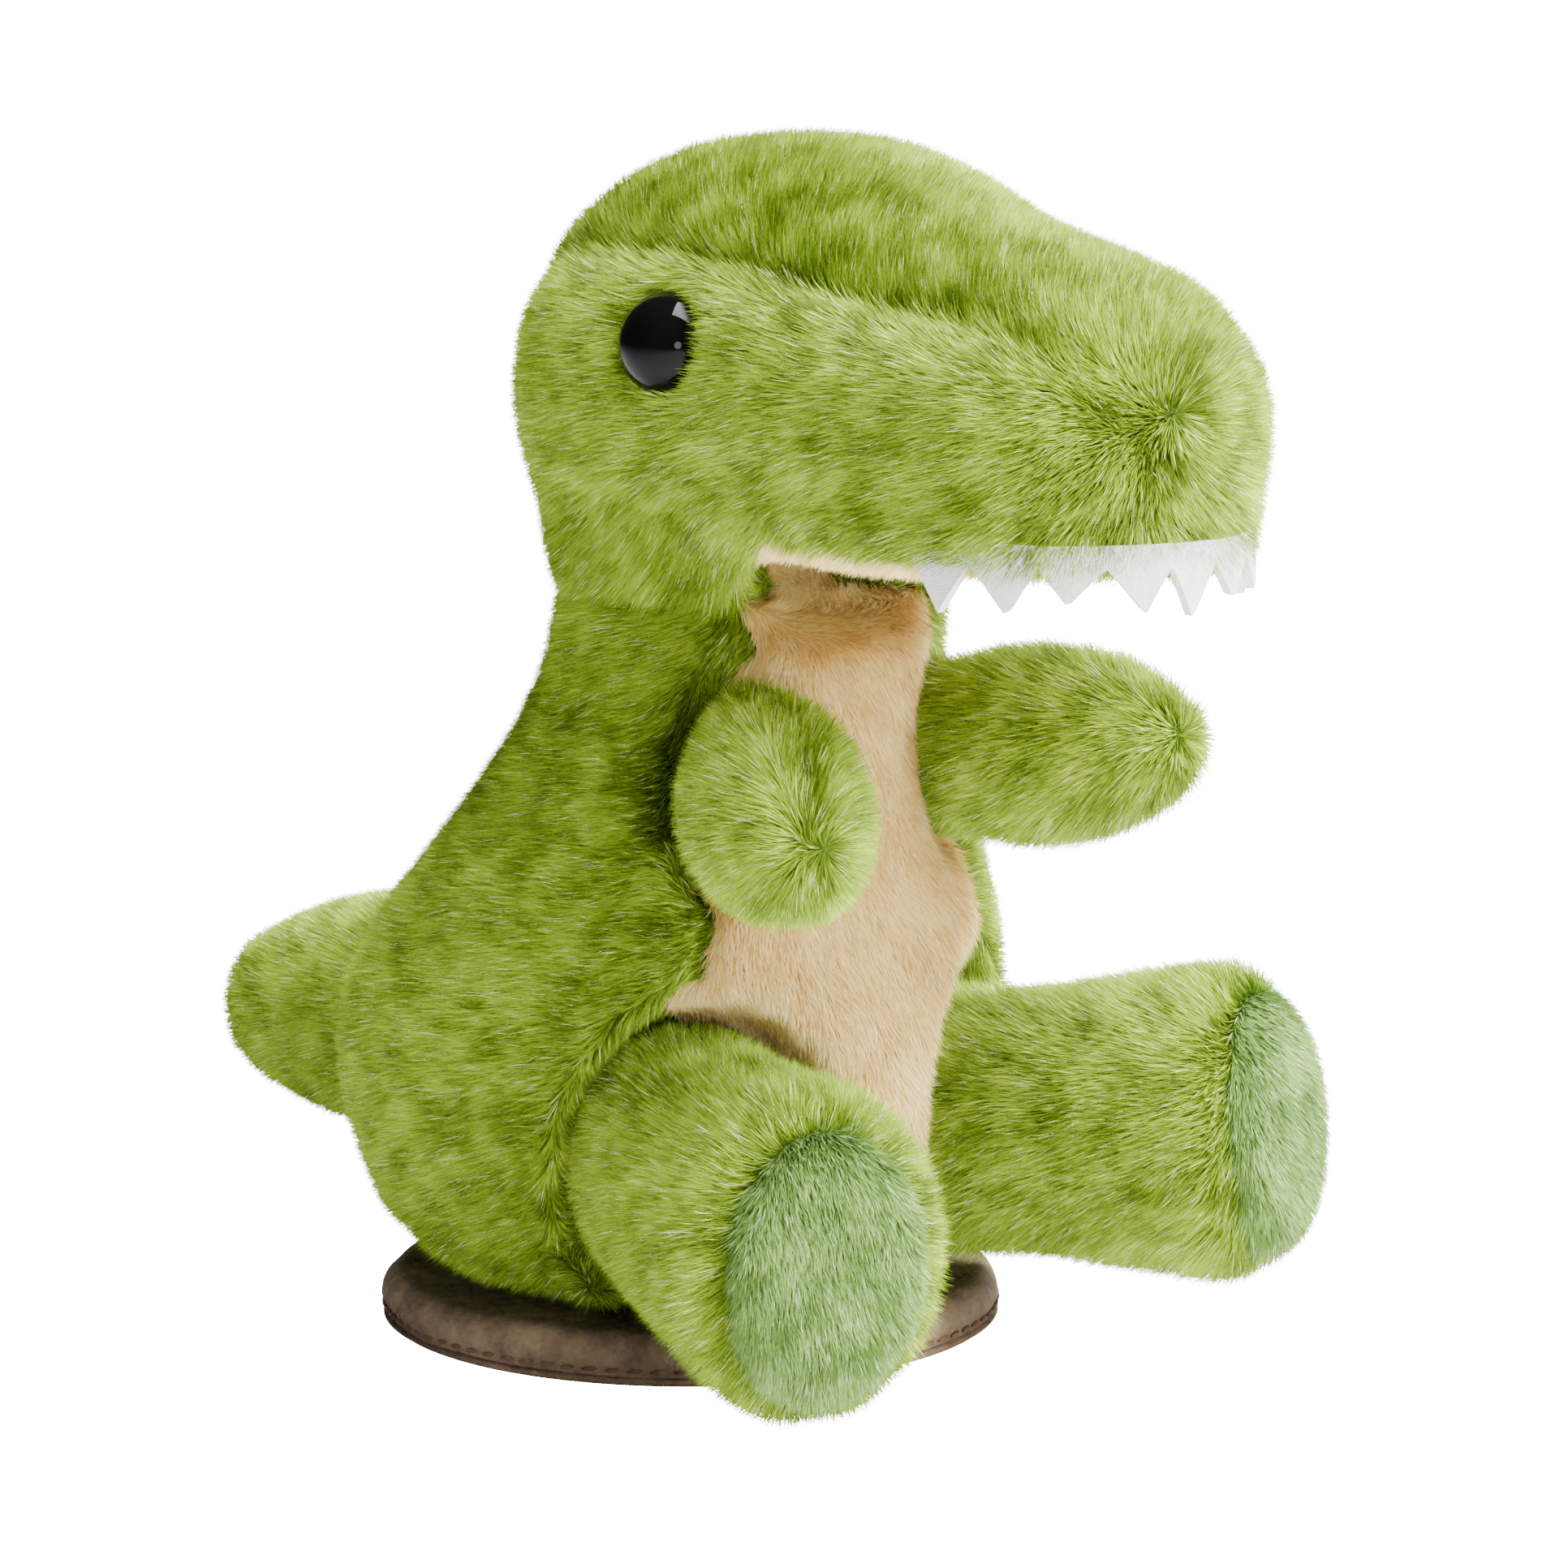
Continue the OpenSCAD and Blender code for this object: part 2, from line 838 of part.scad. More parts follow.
module pad_bottom_cover() {
    color("rosybrown")
        cylinder(h = suede_t, d = pad_d, $fn = 96);
}

module pad_foam() {
    color("khaki")
        difference() {
            rotate_extrude($fn = 96)
                pad_outline(suede_t + fill_gap, suede_t + seam_gap);
            plate_form(0.05);
        }
}

// Steel disc in the middle of the foam, grown by g
module plate_form(g) {
    translate([0, 0, pad_h - suede_t - 2 - plate_t - g])
        cylinder(h = plate_t + 2 * g, d = plate_d + 2 * g, $fn = 64);
}

module pad_plate() color("slategray") plate_form(0);

module pad_thread() {
    color("saddlebrown")
        translate([0, 0, suede_t + 1])
            rotate_extrude($fn = 96)
                translate([pad_d / 2 + thread_d / 2 + 0.02, 0])
                    circle(d = thread_d, $fn = 24);
}

pad_top_cover();
pad_bottom_cover();
pad_foam();
pad_plate();
pad_thread();
back_panel_right();
back_panel_left();
belly_panel();
base_panel();
torso_stuffing();
pellet_pouch();
pellets();
magnet_pouch();
magnet();
head_side_right();
head_side_left();
head_gusset();
muzzle_lining();
teeth();
head_stuffing();
eye_right();
eye_left();
eye_washer_right();
eye_washer_left();
arm_outer_right();
arm_inner_right();
arm_stuffing_right();
arm_outer_left();
arm_inner_left();
arm_stuffing_left();
leg_outer_right();
leg_inner_right();
sole_right();
leg_stuffing_right();
leg_outer_left();
leg_inner_left();
sole_left();
leg_stuffing_left();
tail_skin_right();
tail_skin_left();
tail_stuffing();
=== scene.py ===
import math

import bmesh
import bpy
import numpy as np
from mathutils import Matrix, Vector, noise
from mathutils.bvhtree import BVHTree
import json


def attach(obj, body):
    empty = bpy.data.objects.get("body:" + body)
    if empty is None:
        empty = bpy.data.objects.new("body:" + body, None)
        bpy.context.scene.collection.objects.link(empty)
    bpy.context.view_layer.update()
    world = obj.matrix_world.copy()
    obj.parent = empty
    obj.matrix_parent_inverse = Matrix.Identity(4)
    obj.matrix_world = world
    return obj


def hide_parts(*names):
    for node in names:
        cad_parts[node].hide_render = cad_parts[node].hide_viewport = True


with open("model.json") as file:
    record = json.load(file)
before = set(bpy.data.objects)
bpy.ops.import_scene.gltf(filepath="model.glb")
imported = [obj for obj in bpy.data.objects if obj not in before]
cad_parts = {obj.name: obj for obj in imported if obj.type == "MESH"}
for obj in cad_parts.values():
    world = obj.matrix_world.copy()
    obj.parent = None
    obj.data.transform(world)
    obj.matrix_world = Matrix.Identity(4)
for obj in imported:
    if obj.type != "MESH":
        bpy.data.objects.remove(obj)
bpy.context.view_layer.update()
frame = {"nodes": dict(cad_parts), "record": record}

scene = bpy.context.scene
nodes = frame["nodes"]
bodies = frame["record"]["behaviour"]["bodies"]
lipHeight = 0.1005
neckHeight = 0.091


# Camera, floor and lights
shot = {
    "azimuth": -39,
    "elevation": 9.2,
    "distance": 0.69,
    "lens": 129.9,
    "aside": 0.0115,
    "height": 0.0656,
}


def link(obj):
    scene.collection.objects.link(obj)
    return obj


def aim(obj, place, target):
    obj.location = place
    obj.rotation_euler = (Vector(target) - Vector(place)).to_track_quat("-Z", "Y").to_euler()


def makeCamera():
    az, el = math.radians(shot["azimuth"]), math.radians(shot["elevation"])
    right = Vector((math.cos(az), math.sin(az), 0))
    toward = Vector((math.sin(az), -math.cos(az), 0))
    target = right * shot["aside"] + Vector((0, 0, shot["height"]))
    away = toward * math.cos(el) + Vector((0, 0, math.sin(el)))
    data = bpy.data.cameras.new("camera")
    data.sensor_width = 36
    data.lens = shot["lens"]
    data.dof.use_dof = False
    camera = link(bpy.data.objects.new("camera", data))
    aim(camera, target + away * shot["distance"], target)
    scene.camera = camera
    return right, toward


# Lights stand this far up, to the right of and toward the camera's side of the middle
studio = {
    "middle": 0.08,
    "floor": 4,
    "fill": 0.085,
    "backdrop": 30,
    "lights": {
        "overhead": {"up": 0.66, "right": 0.32, "toward": 0.05, "size": 0.55, "power": 42},
        "front": {"up": 0.08, "right": 0.2, "toward": 0.75, "size": 0.2, "power": 1.7},
        "side": {"up": 0.3, "right": 0.65, "toward": 0.3, "size": 0.5, "power": 11},
    },
}


def areaLight(name, place, target, values):
    data = bpy.data.lights.new(name, "AREA")
    data.shape = "DISK" if name == "front" else "SQUARE"
    data.size = values["size"]
    data.energy = values["power"]
    aim(link(bpy.data.objects.new(name, data)), place, target)


def makeStudio():
    right, toward = makeCamera()
    world = bpy.data.worlds.new("studio")
    scene.world = world
    world.use_nodes = True
    tree = world.node_tree
    paths = tree.nodes.new("ShaderNodeLightPath")
    power = tree.nodes.new("ShaderNodeMapRange")
    power.inputs["To Min"].default_value = studio["fill"]
    power.inputs["To Max"].default_value = studio["backdrop"]
    tree.links.new(paths.outputs["Is Camera Ray"], power.inputs["Value"])
    tree.links.new(power.outputs["Result"], tree.nodes["Background"].inputs["Strength"])
    tree.nodes["Background"].inputs["Color"].default_value = (1, 1, 1, 1)
    up = Vector((0, 0, 1))
    middle = up * studio["middle"]
    for name, values in studio["lights"].items():
        away = up * values["up"] + right * values["right"] + toward * values["toward"]
        areaLight(name, middle + away, middle, values)
    bm = bmesh.new()
    bmesh.ops.create_grid(bm, x_segments=1, y_segments=1, size=studio["floor"])
    mesh = bpy.data.meshes.new("floor")
    bm.to_mesh(mesh)
    bm.free()
    floor = link(bpy.data.objects.new("floor", mesh))
    mesh.materials.append(floorMaterial())


# Materials
def newMaterial(name):
    material = bpy.data.materials.new(name)
    material.use_nodes = True
    return material, material.node_tree, material.node_tree.nodes["Principled BSDF"]


def addNode(tree, kind, **settings):
    node = tree.nodes.new(kind)
    for key, value in settings.items():
        if key in node.inputs:
            node.inputs[key].default_value = value
        else:
            setattr(node, key, value)
    return node


def plainMaterial(name, color, roughness):
    material, tree, shader = newMaterial(name)
    shader.inputs["Base Color"].default_value = (*color, 1)
    shader.inputs["Roughness"].default_value = roughness
    return material


# Pale floor that the camera sees against the light
def floorMaterial():
    material, tree, shader = newMaterial("floorWhite")
    shader.inputs["Base Color"].default_value = (0.95, 0.95, 0.95, 1)
    shader.inputs["Roughness"].default_value = 0.9
    shader.inputs["Emission Color"].default_value = (1, 1, 1, 1)
    paths = addNode(tree, "ShaderNodeLightPath")
    power = addNode(tree, "ShaderNodeMath", operation="MULTIPLY")
    power.inputs[1].default_value = studio["backdrop"]
    tree.links.new(paths.outputs["Is Camera Ray"], power.inputs[0])
    tree.links.new(power.outputs[0], shader.inputs["Emission Strength"])
    return material


def makeGroup(name, inputs, outputs):
    group = bpy.data.node_groups.new(name, "ShaderNodeTree")
    for label, kind in inputs:
        group.interface.new_socket(label, in_out="INPUT", socket_type="NodeSocket" + kind)
    for label, kind in outputs:
        group.interface.new_socket(label, in_out="OUTPUT", socket_type="NodeSocket" + kind)
    return group, group.nodes.new("NodeGroupInput"), group.nodes.new("NodeGroupOutput")


# Blend of two colours while a value runs from low to high
def fade(tree, value, low, high, first, second):
    share = addNode(tree, "ShaderNodeMapRange")
    share.inputs["From Min"].default_value = low
    share.inputs["From Max"].default_value = high
    mix = addNode(tree, "ShaderNodeMix", data_type="RGBA")
    tree.links.new(value, share.inputs["Value"])
    tree.links.new(share.outputs["Result"], mix.inputs[0])
    tree.links.new(first, mix.inputs[6])
    tree.links.new(second, mix.inputs[7])
    return mix.outputs[2]


# Two colours mottled by noise, with a fine bump
def mottleGroup():
    inputs = [("Scale", "Float"), ("Dark", "Color"), ("Light", "Color"), ("Bump", "Float")]
    group, start, end = makeGroup("mottle", inputs, [("Color", "Color"), ("Normal", "Vector")])
    coords = addNode(group, "ShaderNodeTexCoord")
    spots = addNode(group, "ShaderNodeTexNoise", Detail=5.0, Roughness=0.65)
    fine = addNode(group, "ShaderNodeTexNoise", Detail=3.0)
    finer = addNode(group, "ShaderNodeMath", operation="MULTIPLY")
    finer.inputs[1].default_value = 7
    relief = addNode(group, "ShaderNodeBump", Distance=0.0004)
    group.links.new(coords.outputs["Object"], spots.inputs["Vector"])
    group.links.new(coords.outputs["Object"], fine.inputs["Vector"])
    group.links.new(start.outputs["Scale"], spots.inputs["Scale"])
    group.links.new(start.outputs["Scale"], finer.inputs[0])
    group.links.new(finer.outputs[0], fine.inputs["Scale"])
    group.links.new(start.outputs["Bump"], relief.inputs["Strength"])
    group.links.new(fine.outputs["Fac"], relief.inputs["Height"])
    color = fade(group, spots.outputs["Fac"], 0.32, 0.68, start.outputs["Dark"], start.outputs["Light"])
    group.links.new(color, end.inputs["Color"])
    group.links.new(relief.outputs["Normal"], end.inputs["Normal"])
    return group


# A fibre's colour: shade picks between its tones, along runs from its root to its tip. The root tone is
# painted shade deep in the pile, and the top shades are a painted glint.
def fibreGroup():
    tones = ("Root", "Dark", "Middle", "Light", "Sparkle")
    inputs = [("Shade", "Float"), ("Along", "Float")] + [(tone, "Color") for tone in tones]
    group, start, end = makeGroup("fibre", inputs, [("Color", "Color")])
    root, dark, middle, light, sparkle = (start.outputs[tone] for tone in tones)
    shade = start.outputs["Shade"]
    color = fade(group, shade, 0, 0.42, dark, middle)
    color = fade(group, shade, 0.42, 0.84, color, light)
    # Shades past 0.93 turn into the painted glint tone: a painted highlight, not a colour of the fibres
    color = fade(group, shade, 0.93, 0.95, color, sparkle)
    # Towards its root each fibre fades into the root tone: painted shade deep in the pile
    color = fade(group, start.outputs["Along"], 0, 0.55, root, color)
    group.links.new(color, end.inputs["Color"])
    return group


mottle = mottleGroup()
fibre = fibreGroup()


def mottledMaterial(name, dark, light, scale, roughness, bump, metallic=0.0):
    material, tree, shader = newMaterial(name)
    pattern = addNode(tree, "ShaderNodeGroup", node_tree=mottle)
    pattern.inputs["Scale"].default_value = scale
    pattern.inputs["Dark"].default_value = (*dark, 1)
    pattern.inputs["Light"].default_value = (*light, 1)
    pattern.inputs["Bump"].default_value = bump
    tree.links.new(pattern.outputs["Color"], shader.inputs["Base Color"])
    tree.links.new(pattern.outputs["Normal"], shader.inputs["Normal"])
    shader.inputs["Roughness"].default_value = roughness
    shader.inputs["Metallic"].default_value = metallic
    return material


# The pile's map holds each fibre's shade in u and the way along it in v
def pileMaterial(name, tones):
    material, tree, shader = newMaterial(name)
    place = addNode(tree, "ShaderNodeUVMap", uv_map="OFBake")
    split = addNode(tree, "ShaderNodeSeparateXYZ")
    color = addNode(tree, "ShaderNodeGroup", node_tree=fibre)
    tree.links.new(place.outputs["UV"], split.inputs["Vector"])
    tree.links.new(split.outputs["X"], color.inputs["Shade"])
    tree.links.new(split.outputs["Y"], color.inputs["Along"])
    for tone in ("root", "dark", "middle", "light", "sparkle"):
        color.inputs[tone.capitalize()].default_value = (*tones[tone], 1)
    tree.links.new(color.outputs["Color"], shader.inputs["Base Color"])
    shader.inputs["Roughness"].default_value = 0.6
    shader.inputs["Specular IOR Level"].default_value = 0.12
    return material


makeStudio()
print("studio ready")

# Tones of each plush, then its fibres: length, lean from upright, width, number to the square metre. The
# root tone is painted shade deep in the pile, and the sparkle tone is a painted glint on a few fibres.
plush = {
    "green": {
        "root": (0.08, 0.14, 0.004),
        "dark": (0.07, 0.125, 0.003),
        "middle": (0.25, 0.40, 0.012),
        "light": (0.47, 0.63, 0.05),
        "sparkle": (0.95, 1.0, 0.45),
        "length": 0.0037,
        "lean": 46,
        "width": 0.00014,
        "density": 28e6,
        "slot": "plush_green",
    },
    "tan": {
        "root": (0.74, 0.50, 0.16),
        "dark": (0.80, 0.55, 0.18),
        "middle": (0.97, 0.75, 0.28),
        "light": (1.0, 0.85, 0.40),
        "sparkle": (1.0, 0.94, 0.66),
        "length": 0.0024,
        "lean": 55,
        "width": 0.00016,
        "density": 26e6,
        "slot": "plush_tan",
    },
    "sage": {
        "root": (0.08, 0.15, 0.025),
        "dark": (0.10, 0.19, 0.03),
        "middle": (0.21, 0.36, 0.075),
        "light": (0.36, 0.55, 0.15),
        "sparkle": (0.62, 0.78, 0.45),
        "length": 0.0025,
        "lean": 50,
        "width": 0.00018,
        "density": 26e6,
        "slot": "plush_sage",
    },
}
for kind, values in plush.items():
    values["pile"] = pileMaterial(kind + "Pile", values)
    # The backing under the pile is mottled between the root's painted shade and the dark tone
    values["backing"] = mottledMaterial(kind + "Backing", values["root"], values["dark"], 900, 0.9, 0.5)


# Meshes
def applyModifiers(obj):
    graph = bpy.context.evaluated_depsgraph_get()
    mesh = bpy.data.meshes.new_from_object(obj.evaluated_get(graph), depsgraph=graph)
    old = obj.data
    obj.modifiers.clear()
    obj.data = mesh
    mesh.name = obj.name
    bpy.data.meshes.remove(old)


def removeObject(obj):
    mesh = obj.data
    bpy.data.objects.remove(obj)
    bpy.data.meshes.remove(mesh)


def points(mesh):
    co = np.empty(len(mesh.vertices) * 3)
    mesh.vertices.foreach_get("co", co)
    return co.reshape(-1, 3)


def normals(mesh):
    no = np.empty(len(mesh.vertices) * 3)
    mesh.vertices.foreach_get("normal", no)
    return no.reshape(-1, 3)


def setPoints(mesh, co):
    mesh.vertices.foreach_set("co", np.ascontiguousarray(co).ravel())
    mesh.update()


def edges(mesh):
    pairs = np.empty(len(mesh.edges) * 2, int)
    mesh.edges.foreach_get("vertices", pairs)
    return pairs.reshape(-1, 2)


# Averages a value over its neighbours along the mesh's edges
def relax(mesh, values, times):
    pairs = edges(mesh)
    count = np.bincount(pairs.ravel(), minlength=len(mesh.vertices)).astype(float)
    for _ in range(times):
        total = np.zeros_like(values)
        np.add.at(total, pairs[:, 0], values[pairs[:, 1]])
        np.add.at(total, pairs[:, 1], values[pairs[:, 0]])
        share = count if values.ndim == 1 else count[:, None]
        values = 0.5 * values + 0.5 * total / np.maximum(share, 1)
    return values


def keepLargest(bm):
    left = set(bm.verts)
    best = set()
    while left:
        seed = left.pop()
        island, front = {seed}, [seed]
        while front:
            for edge in front.pop().link_edges:
                for v in edge.verts:
                    if v not in island:
                        island.add(v)
                        front.append(v)
        left -= island
        if len(island) > len(best):
            best = island
    bmesh.ops.delete(bm, geom=[v for v in bm.verts if v not in best], context="VERTS")


# One closed form over several CAD nodes
def formOver(name, names, voxel, rounds):
    bm = bmesh.new()
    for node in names:
        bm.from_mesh(nodes[node].data)
    bmesh.ops.remove_doubles(bm, verts=bm.verts, dist=1e-6)
    mesh = bpy.data.meshes.new(name)
    bm.to_mesh(mesh)
    bm.free()
    obj = link(bpy.data.objects.new(name, mesh))
    remesh = obj.modifiers.new("remesh", "REMESH")
    remesh.mode = "VOXEL"
    remesh.voxel_size = voxel
    applyModifiers(obj)
    bm = bmesh.new()
    bm.from_mesh(obj.data)
    keepLargest(bm)
    for _ in range(rounds):
        bmesh.ops.smooth_vert(
            bm, verts=bm.verts, factor=0.5, use_axis_x=True, use_axis_y=True, use_axis_z=True
        )
    bm.to_mesh(obj.data)
    bm.free()
    return obj


# How far a value has gone from start to end, kept between 0 and 1
def ramp(value, start, end):
    return np.clip((value - start) / (end - start), 0, 1)


throat = {
    "half": 0.024,
    "back": -0.028,
    "front": -0.06,
    "rounds": 60,
    "flat": 0.85,
    "lipDrop": 0.0012,
    "muzzleRadius": 0.0185,
    "muzzleMiddle": -0.066,
}


# Lets the cloth between the muzzle and the belly hang in one soft curve, and flattens the muzzle below
def softenThroat(mesh):
    co = points(mesh)
    where = (np.abs(co[:, 0]) < throat["half"]) & (co[:, 1] < throat["back"]) & (co[:, 1] > throat["front"])
    where &= (co[:, 2] > neckHeight - 0.003) & (co[:, 2] < lipHeight + 0.002)
    weight = relax(mesh, where.astype(float), 4)[:, None]
    for _ in range(throat["rounds"]):
        co += (relax(mesh, co, 1) - co) * weight
    front = ramp(co[:, 1], -0.044, -0.054)
    under = front * (co[:, 2] < lipHeight + 0.0006) * (co[:, 2] > neckHeight)
    co[:, 2] += throat["flat"] * under * (lipHeight + 0.0006 - co[:, 2])
    lip = ramp(co[:, 2], lipHeight + 0.008, lipHeight + 0.001) * (co[:, 2] > neckHeight + 0.002)
    across = np.hypot(co[:, 0] * 1.12, co[:, 1] - throat["muzzleMiddle"])
    edge = ramp(across, throat["muzzleRadius"], throat["muzzleRadius"] + 0.003)
    co[:, 2] -= throat["lipDrop"] * lip * front * np.maximum(edge, co[:, 1] > throat["muzzleMiddle"])
    setPoints(mesh, co)


snout = {"start": -0.042, "end": -0.072, "low": 0.108, "high": 0.136, "drop": 0.0034}


# The filled snout slopes a little lower than its rigid form
def lowerSnout(mesh):
    co = points(mesh)
    along = ramp(co[:, 1], snout["start"], snout["end"])
    co[:, 2] -= snout["drop"] * along * ramp(co[:, 2], snout["low"], snout["high"])
    setPoints(mesh, co)


tailTip = {"measure": 0.07, "start": 0.052, "end": 0.072, "wider": 0.1, "taller": 0.2}


# The tail's filled tip is plumper than its rigid form
def plumpTail(mesh):
    co = points(mesh)
    tip = co[:, 1] > tailTip["measure"]
    middle = (co[tip].max(axis=0) + co[tip].min(axis=0)) / 2
    along = ramp(co[:, 1], tailTip["start"], tailTip["end"])
    co[:, 0] += (co[:, 0] - middle[0]) * along * tailTip["wider"]
    co[:, 2] += (co[:, 2] - middle[2]) * along * tailTip["taller"]
    setPoints(mesh, co)


def treeOf(mesh):
    return BVHTree.FromPolygons(
        [v.co for v in mesh.vertices], [tuple(p.vertices) for p in mesh.polygons]
    )


# Distances from each point to each named CAD node
def nodeDistances(co, names):
    table = np.empty((len(names), len(co)))
    for row, name in enumerate(names):
        tree = treeOf(nodes[name].data)
        for k, p in enumerate(co):
            table[row, k] = tree.find_nearest(Vector(p))[3]
    return table


puff = {"pressure": 4, "mass": 0.2, "tension": 20, "bending": 2, "steps": 20, "limit": 0.0012}


# Pressure swells the stuffed form between its seams, which are held
def swell(obj, held):
    before = points(obj.data)
    group = obj.vertex_groups.new(name="held")
    for k in np.nonzero(held > 0.02)[0]:
        group.add([int(k)], float(min(1, held[k])), "REPLACE")
    cloth = obj.modifiers.new("cloth", "CLOTH")
    settings = cloth.settings
    settings.quality = 4
    settings.mass = puff["mass"]
    settings.use_pressure = True
    settings.uniform_pressure_force = puff["pressure"]
    settings.vertex_group_mass = "held"
    settings.effector_weights.gravity = 0
    settings.tension_stiffness = puff["tension"]
    settings.bending_stiffness = puff["bending"]
    cloth.collision_settings.use_collision = False
    cloth.point_cache.frame_start = 1
    cloth.point_cache.frame_end = puff["steps"]
    for number in range(1, puff["steps"] + 1):
        scene.frame_set(number)
    applyModifiers(obj)
    scene.frame_set(1)
    move = points(obj.data) - before
    far = np.linalg.norm(move, axis=1, keepdims=True)
    move *= np.minimum(1, puff["limit"] / np.maximum(far, 1e-9))
    setPoints(obj.data, before + relax(obj.data, move, 2))
    obj.vertex_groups.clear()


def unit(v):
    return v / np.maximum(np.linalg.norm(v, axis=1, keepdims=True), 1e-9)


# Nap: the way that the fibres lie, for points on each panel
whorl = np.array((-0.002, -0.0905, 0.118))


def constant(*way):
    return lambda p, n: np.tile(np.array(way, float), (len(p), 1))


def fromWhorl(p, n):
    away = unit(p - whorl)
    near = np.exp(-((np.linalg.norm(p - whorl, axis=1) / 0.03) ** 2))[:, None]
    drop = ramp(p[:, 2], lipHeight + 0.007, lipHeight)[:, None]
    return away * near + (1 - near) * np.array((0, 1, -0.16)) - drop * np.array((0, 0, 0.9))


def acrossTop(p, n):
    away = unit(p - whorl)
    near = np.exp(-((np.linalg.norm(p - whorl, axis=1) / 0.022) ** 2))[:, None]
    return away * near + (1 - near) * np.array((1, 0.3, 0.1))


def roundBody(p, n):
    side = np.sign(p[:, 0])[:, None]
    high = ramp(p[:, 2], 0.06, 0.09)[:, None]
    return np.hstack((side * 0.5, np.ones((len(p), 1)), -0.22 - 0.5 * high))


forms = {
    "trunk": {
        "cad": ["torso_stuffing", "pellet_pouch", "pellets", "magnet_pouch", "magnet", "head_stuffing"],
        "panels": {
            "back_panel_right": ("green", roundBody),
            "back_panel_left": ("green", roundBody),
            "belly_panel": ("tan", constant(0, 0, -1)),
            "base_panel": ("green", constant(0, 1, -0.2)),
            "head_side_right": ("green", fromWhorl),
            "head_side_left": ("green", fromWhorl),
            "head_gusset": ("green", acrossTop),
            "muzzle_lining": ("tan", constant(0, 0.6, -1)),
        },
    },
    "tail": {
        "cad": ["tail_stuffing"],
        "panels": {
            "tail_skin_right": ("green", constant(0, 1, -0.1)),
            "tail_skin_left": ("green", constant(0, 1, -0.1)),
        },
    },
}
limbs = {"right": {"arm": 26, "leg": 18}, "left": {"arm": -12, "leg": -23}}  # splay in degrees
for side, splay in limbs.items():
    for limb in ("arm", "leg"):
        turn = math.radians(splay[limb])
        nap = constant(math.sin(turn), math.cos(turn), -0.3)
        form = {
            "cad": [f"{limb}_stuffing_{side}"],
            "panels": {
                f"{limb}_outer_{side}": ("green", nap),
                f"{limb}_inner_{side}": ("green", nap),
            },
        }
        if limb == "leg":
            form["panels"][f"sole_{side}"] = ("sage", constant(0, 0, -1))
        forms[f"{limb}_{side}"] = form

# Skins: size of their faces, depth of a seam, rays that test how open a point is, and their reach
make = {"voxel": 0.0018, "seam": 0.0009, "rays": 14, "reach": 0.012}

for body, form in forms.items():
    rounds = 5 if body == "trunk" else 9
    names = form["cad"] + list(form["panels"])
    form["obj"] = formOver(body + "Form", names, make["voxel"], rounds)
    if body == "trunk":
        softenThroat(form["obj"].data)
        lowerSnout(form["obj"].data)
    if body == "tail":
        plumpTail(form["obj"].data)
print("forms made")

# Puff each form between its seams
for body, form in forms.items():
    obj = form["obj"]
    co = points(obj.data)
    table = nodeDistances(co, list(form["panels"]))
    table.sort(axis=0)
    seamGap = table[1] - table[0]
    held = np.exp(-((seamGap / 0.003) ** 2))
    swell(obj, held)
print("forms swelled")

for body, form in forms.items():
    divide = form["obj"].modifiers.new("divide", "SUBSURF")
    divide.levels = divide.render_levels = 1
    applyModifiers(form["obj"])
    form["tree"] = treeOf(form["obj"].data)


# How open each point is to the outside, from rays that other forms stop
def openness(co, no, rays, reach):
    sky = []
    for k in range(rays):
        z = (k + 0.5) / rays
        a = k * 2.399963
        sky.append((math.sqrt(1 - z * z) * math.cos(a), math.sqrt(1 - z * z) * math.sin(a), z))
    trees = [form["tree"] for form in forms.values()]
    found = np.empty(len(co))
    for k, (p, n) in enumerate(zip(co, no)):
        start = Vector(p + n * 0.0006)
        turn = Vector(n).to_track_quat("Z", "Y").to_matrix()
        free = 0
        for s in sky:
            way = turn @ Vector(s)
            free += not any(tree.ray_cast(start, way, reach)[0] for tree in trees)
        found[k] = free / rays
    return found


def storeValues(mesh, name, values, kind="FLOAT"):
    attribute = mesh.attributes.new(name, kind, "POINT")
    key = "value" if kind == "FLOAT" else "vector"
    attribute.data.foreach_set(key, np.ascontiguousarray(values, np.float32).ravel())


# The tan lining also covers the throat, in front of the neck
def claimThroat(co, order, names):
    reach = np.clip(-0.01241 - 0.81 * co[:, 1], 0.004, 0.0205)
    inside = (np.abs(co[:, 0]) < reach) & (co[:, 1] < -0.02)
    inside &= (co[:, 2] > neckHeight) & (co[:, 2] < lipHeight + 0.0012)
    lining = names.index("muzzle_lining")
    order = order.copy()
    order[1, inside] = order[0, inside]
    order[0, inside] = lining
    return order


def noiseAt(co, size, offset):
    return np.array([noise.noise_vector(Vector(p) / size + Vector(offset)) for p in co])


# Noise in the pile, as its size, strength and offset
wander = ((0.007, 0.45, (3.1, 7.7, 1.3)), (0.0025, 0.35, (8.3, 2.9, 5.5)))
clumps = ((0.0045, 1.0, (1.7, 4.1, 9.9)), (0.0016, 0.7, (5.7, 6.1, 0.9)))


def layeredNoise(co, layers):
    return sum(noiseAt(co, size, offset) * strength for size, strength, offset in layers)


